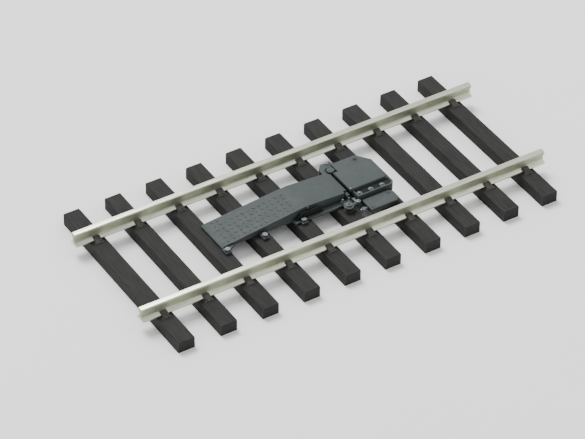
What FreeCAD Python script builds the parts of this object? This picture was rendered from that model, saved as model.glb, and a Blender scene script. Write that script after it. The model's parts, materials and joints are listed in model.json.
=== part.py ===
import FreeCAD, Part
import os
import re
import Sketcher

# Turnout switch unit on a short 16.5 mm gauge track panel.
# X runs along the rails, Y points to the far rail, Z is up. Origin: centre of the
# panel, on the plane that the sleepers stand on. Millimetres.

doc = FreeCAD.newDocument("turnout_switch")
sheet = doc.addObject("Spreadsheet::Sheet", "Dims")

DIMENSIONS = {
    # track
    "gauge": 16.5, "rail_length": 62.5, "rail_height": 1.9, "head_width": 0.88,
    "head_depth": 0.5, "web_width": 0.4, "foot_width": 1.5, "foot_edge": 0.18,
    "foot_rise": 0.2, "head_chamfer": 0.1, "head_slope": 0.15,
    "sleeper_length": 30, "sleeper_width": 2.5, "sleeper_height": 1.8,
    "sleeper_pitch": 6.25, "chair_length": 1.3, "chair_reach": 1.5,
    "chair_height": 0.5, "chair_gap": 0.02, "sleeper_bevel": 0.1,
    # bed plate and its fixings
    "bed_thick": 0.35, "bed_left": -14.35, "bed_near": -2.2, "bed_far": 2.6,
    "tab_left": -4.4, "tab_near": -3.1, "lug_half": 0.44, "lug_near": -3.6,
    "lug_one": -14.95, "lug_two": -9.2, "lug_three": -3.2, "lug_bolt_line": -3.12,
    "lug_bolt_size": 0.4, "lug_bolt_height": 0.38, "lug_shank": 0.2,
    "screw_depth": 0.9, "hole_play": 0.02, "bed_screw_offset": 1.4,
    "bed_screw_head": 0.38, "bed_screw_height": 0.15,
    # ramp plate and its hinge
    "toe_near": -2.35, "toe_far": 3.0, "ramp_near": -2.2, "ramp_far": 2.6,
    "toe_left": -15.3, "toe_right": -14.45,
    "toe_bottom": 1.85, "toe_nose": 2.12, "toe_top": 2.32, "toe_run": 0.35,
    "crest_place": -2.3, "crest_top": 3.66, "ramp_end_top": 3.28,
    "skirt_bottom": 2.25, "sheet_thick": 0.35, "skirt_thick": 0.35,
    "pin_along": 4.2, "pin_level": 2.7, "pin_radius": 0.18, "pin_play": 0.03,
    "knuckle_radius": 0.36, "ear_near": -2.2, "ear_far": -1.8, "ear_radius": 0.33,
    "ear_clear": 0.5, "ear_side_clear": 0.05, "pin_head_radius": 0.3,
    "pin_head_length": 0.25, "post_across": 2.97, "post_radius": 0.58,
    "post_along": 4.8, "post_top": 3.3, "post_clear": 0.97, "post_ring": 0.76,
    "foot_left": 3.55, "foot_near": 2.75, "foot_far": 4.75, "foot_top": 3.1,
    "foot_right": 5.4, "foot_toe_right": 6.1, "foot_inset": 0.12, "ring_depth": 0.18,
    "post_bolt_along": 5.2, "post_bolt_across": 4.42, "post_bolt_radius": 0.22,
    "stud_along": -2.15, "stud_level": 3.42, "stud_radius": 0.2, "stud_length": 0.2,
    "stud_seat": -2.26, "stud_spigot": 0.12, "stud_depth": 0.2,
    "gusset_near": -2.7, "gusset_far": -2.5, "gusset_left": -4.2,
    "gusset_right": 0.2, "gusset_top": 3.15, "gusset_slope": 0.9,
    # machine housing and cover
    "house_left": 4.95, "house_right": 10.75, "house_near": -3.65, "house_far": 4.0,
    "house_wall": 0.23, "house_top": 2.98, "gasket_thick": 0.04,
    "flange_thick": 0.2, "corner_cut": 0.45, "far_cut_right": 9.3,
    "far_cut_start": 2.15, "post_corner": 5.5, "post_corner_start": 2.1,
    "cap_left": 4.55, "cap_right": 10.4, "cap_near": -2.3, "cap_far": 1.95,
    "cap_top": 3.6, "cap_wall": 0.22, "cap_bevel": 0.1,
    "cover_bolt_first": 5.55, "cover_bolt_pitch": 1.78, "cover_bolt_line": -3.05,
    "cover_bolt_radius": 0.24, "cover_bolt_height": 0.24, "cover_bolt_shank": 0.15,
    "boss_half": 0.3, "boss_bottom": 2.6, "boss_far": -2.62,
    "far_screw_along": 8.85, "far_screw_across": 3.3, "window_top": 2.6,
    "window_far": -2.42, "channel_left": 5.12, "channel_right": 10.5,
    "channel_near": -3.5, "channel_round": 0.5, "channel_depth": 0.12,
    "washer_radius": 0.37, "washer_height": 0.05,
    "corner_screw_inset": 0.17, "corner_screw_radius": 0.16, "corner_screw_height": 0.1,
    "corner_screw_depth": 0.25, "corner_screw_shank": 0.08,
    # solenoid motor inside the housing
    "coil_along": 6.62, "coil_level": 2.78, "coil_radius": 0.54, "tube_radius": 0.3,
    "bore_radius": 0.2, "armature_radius": 0.17, "cheek_thick": 0.15,
    "near_coil_start": -1.85, "coil_length": 1.6, "coil_gap": 0.1,
    "yoke_plate": 0.15, "yoke_half": 0.56, "yoke_top": 3.3, "yoke_base": 0.06,
    "armature_near": -3.05, "armature_far": 2.5,
    "slide_bottom": 2.25, "slide_top": 2.5, "slide_near": -3.05, "slide_far": -2.75,
    "slide_leg_half": 0.2, "slide_right": 6.85, "upstand_half": 0.23,
    "upstand_top": 2.94,
    "wiper_near": 2.2, "wiper_right": 9.1, "wiper_bottom": 2.66, "wiper_top": 2.9,
    "finger_bottom": 2.42, "finger_width": 0.3, "finger_one": 7.9,
    "board_left": 7.4, "board_right": 9.3, "board_near": 1.85, "board_far": 3.3,
    "board_thick": 0.15, "pad_thick": 0.06, "pad_width": 0.45, "pad_gap": 0.1,
    # bell crank
    "crank_along": 3.2, "crank_across": -4.1, "drive_arm": 1.5, "output_arm": 1.1,
    "output_angle": 105, "crank_post_radius": 0.24, "crank_play": 0.03,
    "crank_foot_radius": 0.62, "crank_foot_top": 2.0, "cup_bottom": 2.02,
    "cup_bottom_radius": 0.45, "cup_radius": 0.7, "cup_rim_bottom": 2.6,
    "cup_top": 2.74, "arm_bottom": 2.54, "arm_half": 0.2, "eye_radius": 0.33,
    "crank_pin_radius": 0.15, "slot_play": 0.02, "slot_extra": 0.05,
    "crank_pin_head": 0.32, "crank_pin_head_top": 2.92, "crank_pin_tip": 3.04,
    "output_pin_radius": 0.12, "output_pin_top": 3.1, "output_eye": 0.24,
    "output_tang": 0.1, "output_seat": 2.79,
    "lever_angle": 58, "lever_reach": 1.45, "lever_half": 0.13, "lever_knob": 0.14,
    "lever_top": 3.0,
    "nut_bottom": 2.76, "nut_top": 2.94, "nut_radius": 0.42, "post_tip": 3.06,
    # side box with the terminals
    "box_left": 5.45, "box_right": 9.95, "box_near": -6.2, "box_far": -3.85,
    "box_wall": 0.25, "box_floor": 0.2, "box_top": 2.4, "box_lid_top": 2.6,
    "box_cut": 0.5, "lid_overhang": 0.07, "lid_bevel": 0.06,
    "lid_screw_inset": 0.42, "lid_screw_radius": 0.22, "lid_screw_height": 0.1,
    "lid_screw_shank": 0.1, "lid_post_half": 0.22,
    "box_screw_along": 8.7, "box_screw_radius": 0.25, "box_screw_offset": 0.55,
    "block_left": 5.9, "block_right": 8.3, "block_near": -5.5, "block_far": -4.7,
    "block_top": 2.28, "terminal_radius": 0.18, "terminal_pitch": 0.6,
    "terminal_top": 2.36, "terminal_count": 4,
    "gland_across": -5.2, "gland_level": 2.12, "gland_radius": 0.24,
    "gland_bore": 0.15, "gland_end": 4.3, "gland_nut_left": 4.6,
    "gland_nut_right": 4.95, "gland_nut_radius": 0.38, "gland_inner": 5.7,
}

for row, (alias, number) in enumerate(DIMENSIONS.items(), start=1):
    sheet.set(f"A{row}", alias)
    sheet.set(f"B{row}", str(number))
    sheet.setAlias(f"B{row}", alias)
doc.recompute()

WORDS = re.compile(r"\b(" + "|".join(DIMENSIONS) + r")\b")
XY, XZ, YZ = "XY_Plane", "XZ_Plane", "YZ_Plane"
BED_TOP = "(sleeper_height + bed_thick)"
RAIL_LINE = "(gauge / 2 + head_width / 2)"
MAKERS = []


def bound(text):
    """An expression with its dimension names pointed at the sheet."""
    return WORDS.sub(r"Dims.\1", str(text))


def size(text):
    """The present value of an expression, in mm."""
    return float(sheet.evalExpression(bound(text)))


def sub_part(maker):
    """Marks a function that builds one or more sub-parts."""
    MAKERS.append(maker)
    return maker


# ---------------------------------------------------------------- feature helpers
def new_body(label):
    body = doc.addObject("PartDesign::Body", label)
    body.Label = label
    body.Placement = FreeCAD.Placement()
    return body


def new_sketch(body, plane, low, high):
    """A sketch on one of the body's own planes, from which a pad runs low to high."""
    support = [item for item in body.Origin.OriginFeatures if item.Role == plane][0]
    sketch = body.newObject("Sketcher::SketchObject", body.Name + "_sketch")
    sketch.AttachmentSupport = [(support, "")]
    sketch.MapMode = "FlatFace"
    offset = f"-({high})" if plane == XZ else f"{low}"
    sketch.setExpression("AttachmentOffset.Base.z", bound(offset))
    return sketch


def bind(sketch, constraint, text):
    """Adds one constraint and ties it to the sheet."""
    index = sketch.addConstraint(constraint)
    sketch.renameConstraint(index, f"dim{index}")
    sketch.setExpression(f"Constraints.dim{index}", bound(text))


def add_polygon(sketch, points):
    """A closed outline whose corners are (x, y) expressions."""
    first = sketch.GeometryCount
    count = len(points)
    places = [FreeCAD.Vector(size(x), size(y), 0) for x, y in points]
    for i in range(count):
        edge = Part.LineSegment(places[i], places[(i + 1) % count])
        sketch.addGeometry(edge, False)
    for i in range(count):
        following = first + (i + 1) % count
        sketch.addConstraint(Sketcher.Constraint("Coincident", first + i, 2, following, 1))
    for i, (x, y) in enumerate(points):
        bind(sketch, Sketcher.Constraint("DistanceX", first + i, 1, places[i].x), x)
        bind(sketch, Sketcher.Constraint("DistanceY", first + i, 1, places[i].y), y)


def add_circle(sketch, x, y, radius):
    centre = FreeCAD.Vector(size(x), size(y), 0)
    index = sketch.addGeometry(Part.Circle(centre, FreeCAD.Vector(0, 0, 1), size(radius)))
    bind(sketch, Sketcher.Constraint("Radius", index, size(radius)), radius)
    bind(sketch, Sketcher.Constraint("DistanceX", index, 3, centre.x), x)
    bind(sketch, Sketcher.Constraint("DistanceY", index, 3, centre.y), y)


def add_slot(sketch, x, y, half_length, radius):
    """A rounded slot along the sketch's x axis, as a rectangle is too sharp."""
    left = FreeCAD.Vector(size(x) - size(half_length), size(y), 0)
    right = FreeCAD.Vector(size(x) + size(half_length), size(y), 0)
    rise = FreeCAD.Vector(0, size(radius), 0)
    side = FreeCAD.Vector(size(radius), 0, 0)
    first = sketch.GeometryCount
    sketch.addGeometry(Part.LineSegment(left - rise, right - rise))
    sketch.addGeometry(Part.Arc(right - rise, right + side, right + rise))
    sketch.addGeometry(Part.LineSegment(right + rise, left + rise))
    sketch.addGeometry(Part.Arc(left + rise, left - side, left - rise))
    bind(sketch, Sketcher.Constraint("DistanceX", first + 1, 3, right.x), f"{x} + {half_length}")
    bind(sketch, Sketcher.Constraint("DistanceY", first + 1, 3, right.y), y)
    bind(sketch, Sketcher.Constraint("DistanceX", first + 3, 3, left.x), f"{x} - {half_length}")
    bind(sketch, Sketcher.Constraint("DistanceY", first + 3, 3, left.y), y)
    bind(sketch, Sketcher.Constraint("Radius", first + 1, size(radius)), radius)
    for line, arc in ((0, 1), (2, 3)):
        sketch.addConstraint(Sketcher.Constraint("Tangent", first + line, 2, first + arc, 1))
    for arc, line in ((1, 2), (3, 0)):
        sketch.addConstraint(Sketcher.Constraint("Tangent", first + arc, 2, first + line, 1))


def pad(body, sketch, low, high):
    feature = body.newObject("PartDesign::Pad", body.Name + "_pad")
    feature.Profile = sketch
    feature.setExpression("Length", bound(f"({high}) - ({low})"))
    sketch.Visibility = False
    return feature


def pocket(body, sketch, low, high):
    """Cuts from low to high, and makes sure that something was cut."""
    doc.recompute()
    before = body.Shape.Volume
    feature = body.newObject("PartDesign::Pocket", body.Name + "_pocket")
    feature.Profile = sketch
    feature.Reversed = True
    feature.setExpression("Length", bound(f"({high}) - ({low})"))
    doc.recompute()
    if body.Shape.Volume > before - 1e-6:
        raise RuntimeError(f"{body.Label}: a pocket cut nothing")
    return feature


def pad_polygon(body, plane, points, low, high):
    sketch = new_sketch(body, plane, low, high)
    add_polygon(sketch, points)
    return pad(body, sketch, low, high)


def cut_polygon(body, plane, points, low, high):
    sketch = new_sketch(body, plane, low, high)
    add_polygon(sketch, points)
    return pocket(body, sketch, low, high)


def pad_circle(body, plane, x, y, radius, low, high, bore=None):
    sketch = new_sketch(body, plane, low, high)
    add_circle(sketch, x, y, radius)
    if bore:
        add_circle(sketch, x, y, bore)
    return pad(body, sketch, low, high)


def cut_circle(body, plane, x, y, radius, low, high):
    sketch = new_sketch(body, plane, low, high)
    add_circle(sketch, x, y, radius)
    return pocket(body, sketch, low, high)


def rectangle(left, near, right, far):
    return [(left, near), (right, near), (right, far), (left, far)]


def hexagon(x, y, radius):
    """Corner expressions of a hexagon, radius measured to its corners."""
    corners = []
    for step in range(6):
        turn = f"{60 * step + 30} deg"
        corners.append((f"{x} + {radius} * cos({turn})", f"{y} + {radius} * sin({turn})"))
    return corners


def chamfer_where(body, amount, wanted):
    """Chamfers the edges that a test on their vertices picks out."""
    doc.recompute()
    tip = body.Tip
    names = []
    for number, edge in enumerate(tip.Shape.Edges, start=1):
        if all(wanted(vertex.Point) for vertex in edge.Vertexes):
            names.append(f"Edge{number}")
    feature = body.newObject("PartDesign::Chamfer", body.Name + "_chamfer")
    feature.Base = (tip, names)
    feature.setExpression("Size", bound(amount))
    return feature


def at_level(text):
    level = size(text)
    return lambda point: abs(point.z - level) < 1e-4


def solid_group(label, shapes):
    """Several identical separate solids in one node."""
    feature = doc.addObject("Part::Feature", label)
    feature.Label = label
    feature.Shape = Part.makeCompound(shapes) if len(shapes) > 1 else shapes[0]
    feature.Placement = FreeCAD.Placement()
    return feature


def upright(radius, bottom, top, x, y):
    """A vertical cylinder given by expressions."""
    base = FreeCAD.Vector(size(x), size(y), size(bottom))
    return Part.makeCylinder(size(radius), size(top) - size(bottom), base)


def dome(radius, height, level, x, y):
    """A low spherical cap standing on a level."""
    wide, tall = size(radius), size(height)
    ball = (wide * wide + tall * tall) / (2 * tall)
    centre = FreeCAD.Vector(size(x), size(y), size(level) + tall - ball)
    sphere = Part.makeSphere(ball, centre)
    return sphere.common(upright(radius, level, f"{level} + {height}", x, y))


def hex_head(radius, bottom, top, x, y):
    corners = [FreeCAD.Vector(size(a), size(b), size(bottom)) for a, b in hexagon(x, y, radius)]
    face = Part.Face(Part.makePolygon(corners + corners[:1]))
    return face.extrude(FreeCAD.Vector(0, 0, size(top) - size(bottom)))


# ---------------------------------------------------------------- track
@sub_part
def rails():
    """Flat-bottomed rails, drawn as a half section and its mirror image."""
    bottom = "sleeper_height"
    half_section = [
        ("foot_width / 2", bottom),
        ("foot_width / 2", f"{bottom} + foot_edge"),
        ("web_width / 2", f"{bottom} + foot_edge + foot_rise"),
        ("web_width / 2", f"{bottom} + rail_height - head_depth - head_slope"),
        ("head_width / 2", f"{bottom} + rail_height - head_depth"),
        ("head_width / 2", f"{bottom} + rail_height - head_chamfer"),
        ("head_width / 2 - head_chamfer", f"{bottom} + rail_height"),
    ]
    for label, side in (("near_rail", "-"), ("far_rail", "")):
        line = f"{side}{RAIL_LINE}"
        section = [(f"{line} + {y}", z) for y, z in half_section]
        section += [(f"{line} - ({y})", z) for y, z in reversed(half_section)]
        body = new_body(label)
        pad_polygon(body, YZ, section, "-rail_length / 2", "rail_length / 2")


def jaw(side, way):
    """Section of one chair jaw that hooks over the rail foot."""
    line = f"{side} * {RAIL_LINE}"
    bottom = "sleeper_height"
    gap = "chair_gap"
    section = [
        (f"foot_width / 2 + {gap}", f"{bottom} - 0.1"),
        (f"foot_width / 2 + {gap}", f"{bottom} + foot_edge + {gap}"),
        (f"web_width / 2 + 3 * {gap}", f"{bottom} + foot_edge + foot_rise + {gap}"),
        (f"web_width / 2 + 3 * {gap}", f"{bottom} + chair_height"),
        ("foot_width / 2 - 0.1", f"{bottom} + chair_height"),
        ("chair_reach - 0.35", f"{bottom} + chair_height * 0.5"),
        ("chair_reach", f"{bottom} + chair_height * 0.2"),
        ("chair_reach", f"{bottom} - 0.1"),
    ]
    return [(f"{line} + {way} * ({y})", z) for y, z in section]


SLEEPER_HOLES = {
    3: [("lug_one", "lug_bolt_line", "lug_shank")],
    4: [("lug_two", "lug_bolt_line", "lug_shank")],
    5: [("lug_three", "lug_bolt_line", "lug_shank")],
    6: [("crank_along", "crank_across", "crank_post_radius")],
    7: [
        ("sleeper_pitch * 1.5", "bed_screw_offset", "lug_shank"),
        ("sleeper_pitch * 1.5", "-bed_screw_offset", "lug_shank"),
        ("box_screw_along", "box_near + box_screw_offset", "lid_screw_shank"),
        ("box_screw_along", "box_far - box_screw_offset", "lid_screw_shank"),
    ],
}


@sub_part
def sleepers():
    """Ten moulded sleepers, each with the four jaws that hold the two rails."""
    for number in range(1, 11):
        body = new_body(f"sleeper_{number:02d}")
        middle = f"{number - 5.5} * sleeper_pitch"
        left = f"{middle} - sleeper_width / 2"
        right = f"{middle} + sleeper_width / 2"
        block = rectangle("-sleeper_length / 2", 0, "sleeper_length / 2", "sleeper_height")
        pad_polygon(body, YZ, block, left, right)
        chamfer_where(body, "sleeper_bevel", at_level("sleeper_height"))
        low = f"{middle} - chair_length / 2"
        high = f"{middle} + chair_length / 2"
        sketch = new_sketch(body, YZ, low, high)
        for side in (-1, 1):
            for way in (-1, 1):
                add_polygon(sketch, jaw(side, way))
        pad(body, sketch, low, high)
        holes = SLEEPER_HOLES.get(number, [])
        if holes:
            sketch = new_sketch(body, XY, "sleeper_height - screw_depth", "sleeper_height")
            for x, y, radius in holes:
                add_circle(sketch, x, y, f"{radius} + hole_play")
            pocket(body, sketch, "sleeper_height - screw_depth", "sleeper_height")


# ---------------------------------------------------------------- bed plate
@sub_part
def bed_plate():
    """Thin plate that ties the unit to sleepers 3 to 7."""
    outline = [("bed_left", "bed_far"), ("bed_left", "toe_near - 0.1")]
    outline += [("lug_one - lug_half", "toe_near - 0.1"), ("lug_one - lug_half", "lug_near")]
    outline += [("lug_one + lug_half", "lug_near"), ("lug_one + lug_half", "lug_near + 0.5")]
    outline += [("bed_left + 1.2", "bed_near")]
    outline += [("lug_two - lug_half", "bed_near"), ("lug_two - lug_half", "lug_near")]
    outline += [("lug_two + lug_half", "lug_near"), ("lug_two + lug_half", "bed_near")]
    outline += [("tab_left", "bed_near"), ("tab_left", "tab_near")]
    outline += [("lug_three - lug_half", "tab_near"), ("lug_three - lug_half", "lug_near")]
    outline += [("lug_three + lug_half", "lug_near"), ("lug_three + lug_half", "tab_near")]
    outline += [("house_left", "tab_near"), ("house_left", "house_near")]
    outline += [("house_right - corner_cut", "house_near")]
    outline += [("house_right", "house_near + corner_cut"), ("house_right", "far_cut_start")]
    outline += [("far_cut_right", "house_far"), ("foot_toe_right + 0.2", "house_far")]
    outline += [("foot_toe_right - 0.4", "foot_far + 0.1"), ("foot_left + 0.65", "foot_far + 0.1")]
    outline += [("foot_left - 0.1", "foot_far - 0.8"), ("foot_left - 0.1", "bed_far")]
    body = new_body("bed_plate")
    pad_polygon(body, XY, outline, "sleeper_height", BED_TOP)
    sketch = new_sketch(body, XY, "sleeper_height", BED_TOP)
    for place in ("lug_one", "lug_two", "lug_three"):
        add_circle(sketch, place, "lug_bolt_line", "lug_shank + hole_play")
    for side in ("", "-"):
        add_circle(sketch, "sleeper_pitch * 1.5", f"{side}bed_screw_offset", "lug_shank + hole_play")
    add_circle(sketch, "post_bolt_along", "post_bolt_across", "lid_screw_shank + hole_play")
    pocket(body, sketch, "sleeper_height", BED_TOP)


@sub_part
def fixing_bolts():
    """Hexagon-headed bolts that hold the three lugs down on their sleepers."""
    bolts = []
    for place in ("lug_one", "lug_two", "lug_three"):
        head_top = f"{BED_TOP} + lug_bolt_height"
        bolt = hex_head("lug_bolt_size", BED_TOP, head_top, place, "lug_bolt_line")
        shank_end = "sleeper_height - screw_depth"
        shank = upright("lug_shank", shank_end, BED_TOP, place, "lug_bolt_line")
        bolts.append(bolt.fuse(shank).removeSplitter())
    solid_group("fixing_bolts", bolts)


@sub_part
def bed_screws():
    """Two screws through the bed plate into sleeper 7, inside the housing."""
    screws = []
    for side in ("", "-"):
        place = ("sleeper_pitch * 1.5", f"{side}bed_screw_offset")
        head = upright("bed_screw_head", BED_TOP, f"{BED_TOP} + bed_screw_height", *place)
        shank = upright("lug_shank", "sleeper_height - screw_depth", BED_TOP, *place)
        screws.append(head.fuse(shank).removeSplitter())
    solid_group("bed_screws", screws)


@sub_part
def near_gusset():
    """Upright plate on the bed's near tab, beside the ramp's crest."""
    body = new_body("near_gusset")
    outline = [
        ("gusset_left", BED_TOP),
        ("gusset_right", BED_TOP),
        ("gusset_right - gusset_slope", "gusset_top"),
        ("gusset_left + gusset_slope", "gusset_top"),
    ]
    pad_polygon(body, XZ, outline, "gusset_near", "gusset_far")


# ---------------------------------------------------------------- ramp and hinge
@sub_part
def ramp_plate():
    """Hollow ramp that rises from its toe to a crest and ends at the hinge knuckle."""
    body = new_body("ramp_plate")
    outline = [
        ("toe_left", "toe_bottom"),
        ("toe_right", "toe_bottom"),
        ("toe_right", "skirt_bottom"),
        ("pin_along - 0.2", "skirt_bottom"),
        ("pin_along", "pin_level - knuckle_radius"),
        ("pin_along + 0.1", "pin_level"),
        ("pin_along + 0.1", "ramp_end_top - 0.06"),
        ("pin_along + 0.04", "ramp_end_top"),
        ("crest_place + 0.4", "crest_top - 0.02"),
        ("crest_place", "crest_top"),
        ("crest_place - 0.4", "crest_top - 0.03"),
        ("toe_left + toe_run", "toe_top"),
        ("toe_left", "toe_nose"),
    ]
    pad_polygon(body, XZ, outline, "toe_near", "toe_far")
    pad_circle(body, XZ, "pin_along", "pin_level", "knuckle_radius", "ramp_near", "ramp_far")
    for side, hinge in (("toe_near", "ramp_near"), ("toe_far", "ramp_far")):
        beyond = f"{side} + ({side} - {hinge}) * 3"
        taper = [("toe_left", side), ("pin_along", hinge), ("pin_along + 1", hinge),
                 ("pin_along + 1", beyond), ("toe_left", beyond)]
        cut_polygon(body, XY, taper, "toe_bottom - 0.1", "crest_top + 0.1")
    hollow = [
        ("toe_right + sheet_thick", "toe_bottom - 0.1"),
        ("toe_right + sheet_thick", "toe_top - 0.2"),
        ("crest_place", "crest_top - sheet_thick"),
        ("pin_along - 0.9", "ramp_end_top - sheet_thick + 0.04"),
        ("pin_along - 0.9", "toe_bottom - 0.1"),
    ]
    cut_polygon(body, XZ, hollow, "ramp_near + skirt_thick", "ramp_far - skirt_thick")
    cut_circle(body, XZ, "pin_along", "pin_level", "pin_radius + pin_play",
               "ramp_near - 0.1", "ramp_far + 0.1")
    notch = rectangle("pin_along - ear_clear", "ramp_near - 0.1",
                      "pin_along + 1", "ear_far + ear_side_clear")
    cut_polygon(body, XY, notch, "toe_bottom", "crest_top")
    cut_circle(body, XY, "post_along", "post_across", "post_clear", "toe_bottom", "crest_top")
    cut_circle(body, XZ, "stud_along", "stud_level", "stud_spigot",
               "stud_seat - 0.1", "stud_seat + stud_depth")


@sub_part
def lift_stud():
    """Small round stud on the ramp's near side at the crest, to lift it by."""
    body = new_body("lift_stud")
    place = ("stud_along", "stud_level")
    pad_circle(body, XZ, *place, "stud_radius", "stud_seat - stud_length", "stud_seat")
    pad_circle(body, XZ, *place, "stud_spigot", "stud_seat", "stud_seat + stud_depth")


@sub_part
def hinge_bracket():
    """Near bearing of the hinge pin: a round ear on a short stalk."""
    body = new_body("hinge_bracket")
    stalk = rectangle("pin_along - ear_radius", BED_TOP, "pin_along + ear_radius", "pin_level")
    pad_polygon(body, XZ, stalk, "ear_near", "ear_far")
    pad_circle(body, XZ, "pin_along", "pin_level", "ear_radius", "ear_near", "ear_far")
    cut_circle(body, XZ, "pin_along", "pin_level", "pin_radius", "ear_near", "ear_far")


@sub_part
def hinge_post():
    """Far bearing of the hinge pin: a cast foot with a round post in a ring groove."""
    body = new_body("hinge_post")
    outline = [
        ("foot_left", "foot_near"),
        ("foot_right", "foot_near"),
        ("foot_right", "house_far + foot_inset"),
        ("foot_toe_right", "house_far + foot_inset"),
        ("foot_toe_right - 0.5", "foot_far"),
        ("foot_left + 0.7", "foot_far"),
        ("foot_left", "foot_far - 0.85"),
    ]
    pad_polygon(body, XY, outline, BED_TOP, "foot_top")
    place = ("post_along", "post_across")
    cut_circle(body, XY, *place, "post_ring", "foot_top - ring_depth", "foot_top")
    pad_circle(body, XY, *place, "post_radius", BED_TOP, "post_top")
    chamfer_where(body, "0.1", at_level("post_top"))
    cut_circle(body, XZ, "pin_along", "pin_level", "pin_radius",
               "post_across - post_radius - 0.1", "post_across")
    cut_circle(body, XY, "post_bolt_along", "post_bolt_across", "lid_screw_shank + hole_play",
               BED_TOP, "foot_top")


@sub_part
def post_bolt():
    """Round-headed bolt through the post's foot."""
    place = ("post_bolt_along", "post_bolt_across")
    head = dome("post_bolt_radius", "0.16", "foot_top", *place)
    shank = upright("lid_screw_shank", "sleeper_height", "foot_top", *place)
    solid_group("post_bolt", [head.fuse(shank).removeSplitter()])


@sub_part
def hinge_pin():
    """Headed pin across the groove, on which the ramp turns."""
    body = new_body("hinge_pin")
    pad_circle(body, XZ, "pin_along", "pin_level", "pin_radius", "ear_near", "post_across")
    pad_circle(body, XZ, "pin_along", "pin_level", "pin_head_radius",
               "ear_near - pin_head_length", "ear_near")


# ---------------------------------------------------------------- housing and cover
def house_outline(inset):
    """Plan of the machine housing, moved inwards by an inset."""
    return [
        (f"house_left + {inset}", f"house_near + {inset}"),
        (f"house_right - corner_cut - {inset} * 0.4", f"house_near + {inset}"),
        (f"house_right - {inset}", f"house_near + corner_cut + {inset} * 0.4"),
        (f"house_right - {inset}", f"far_cut_start - {inset} * 0.4"),
        (f"far_cut_right - {inset}", f"house_far - {inset}"),
        (f"post_corner + {inset}", f"house_far - {inset}"),
        (f"post_corner + {inset}", f"post_corner_start - {inset}"),
        (f"house_left + {inset}", f"post_corner_start - {inset}"),
    ]


@sub_part
def housing():
    """Wall of the machine housing, with three bosses for the cover bolts."""
    body = new_body("housing")
    sketch = new_sketch(body, XY, BED_TOP, "house_top")
    add_polygon(sketch, house_outline("0"))
    add_polygon(sketch, house_outline("house_wall"))
    pad(body, sketch, BED_TOP, "house_top")
    sketch = new_sketch(body, XY, "boss_bottom", "house_top")
    for step in range(3):
        middle = f"cover_bolt_first + {step} * cover_bolt_pitch"
        add_polygon(sketch, rectangle(f"{middle} - boss_half", "house_near + house_wall / 2",
                                      f"{middle} + boss_half", "boss_far"))
    pad(body, sketch, "boss_bottom", "house_top")
    lug = rectangle("far_screw_along - boss_half", "far_screw_across - 0.25",
                    "far_screw_along + boss_half", "house_far - house_wall / 2")
    pad_polygon(body, XY, lug, "boss_bottom", "house_top")
    window = rectangle("house_near + house_wall", f"{BED_TOP} - 0.1", "window_far", "window_top")
    cut_polygon(body, YZ, window, "house_left - 0.1", "house_left + house_wall + 0.1")
    sketch = new_sketch(body, XY, "boss_bottom", "house_top")
    for step in range(3):
        add_circle(sketch, f"cover_bolt_first + {step} * cover_bolt_pitch",
                   "cover_bolt_line", "cover_bolt_shank + hole_play")
    add_circle(sketch, "far_screw_along", "far_screw_across", "cover_bolt_shank + hole_play")
    pocket(body, sketch, "boss_bottom", "house_top")


@sub_part
def cover_gasket():
    """Flat seal between the housing wall and the cover."""
    body = new_body("cover_gasket")
    top = "house_top + gasket_thick"
    sketch = new_sketch(body, XY, "house_top", top)
    add_polygon(sketch, house_outline("0"))
    add_polygon(sketch, house_outline("house_wall"))
    pad(body, sketch, "house_top", top)


CORNER_SCREW = ("cap_left + corner_screw_inset", "cap_near + corner_screw_inset")


@sub_part
def main_cover():
    """Cover with a raised middle, a sunk bolt channel on the near side and a far flange."""
    body = new_body("main_cover")
    low = "house_top + gasket_thick"
    seat = f"({low} + flange_thick)"
    pad_polygon(body, XY, house_outline("0"), low, seat)
    cap = [
        ("cap_left", "cap_near"),
        ("cap_right - 0.3", "cap_near"),
        ("cap_right", "cap_near + 0.3"),
        ("cap_right", "cap_far"),
        ("cap_left", "cap_far"),
    ]
    pad_polygon(body, XY, cap, seat, "cap_top")
    chamfer_where(body, "cap_bevel", at_level("cap_top"))
    channel = [
        ("channel_left", "channel_near"),
        ("channel_right - channel_round", "channel_near"),
        ("channel_right - channel_round * 0.3", "channel_near + channel_round * 0.3"),
        ("channel_right", "channel_near + channel_round"),
        ("channel_right", "cap_near"),
        ("channel_left", "cap_near"),
    ]
    cut_polygon(body, XY, channel, f"{seat} - channel_depth", seat)
    hollow = rectangle("house_left + cap_wall", "cap_near + cap_wall",
                       "cap_right - cap_wall - 0.1", "cap_far - cap_wall")
    cut_polygon(body, XY, hollow, low, "cap_top - cap_wall")
    sketch = new_sketch(body, XY, low, seat)
    for step in range(3):
        add_circle(sketch, f"cover_bolt_first + {step} * cover_bolt_pitch",
                   "cover_bolt_line", "cover_bolt_shank + hole_play")
    add_circle(sketch, "far_screw_along", "far_screw_across", "cover_bolt_shank + hole_play")
    pocket(body, sketch, low, seat)
    cut_circle(body, XY, *CORNER_SCREW, "corner_screw_shank", "cap_top - corner_screw_depth", "cap_top")


def cover_bolt(x, y, sunk):
    """One flanged cover bolt: a washer face, a short drum and a dome."""
    seat = f"(house_top + gasket_thick + flange_thick - {sunk})"
    middle = f"{seat} + cover_bolt_height / 2"
    washer = upright("washer_radius", seat, f"{seat} + washer_height", x, y)
    drum = upright("cover_bolt_radius", seat, middle, x, y)
    top = dome("cover_bolt_radius", "cover_bolt_height / 2", middle, x, y)
    shank = upright("cover_bolt_shank", "boss_bottom", seat, x, y)
    return drum.fuse([washer, top, shank]).removeSplitter()


@sub_part
def cover_bolts():
    """Three bolts in the near flange's channel."""
    bolts = []
    for step in range(3):
        along = f"cover_bolt_first + {step} * cover_bolt_pitch"
        bolts.append(cover_bolt(along, "cover_bolt_line", "channel_depth"))
    solid_group("cover_bolts", bolts)


@sub_part
def far_screw():
    """Single bolt at the right end of the far flange."""
    solid_group("far_cover_bolt", [cover_bolt("far_screw_along", "far_screw_across", "0")])


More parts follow.
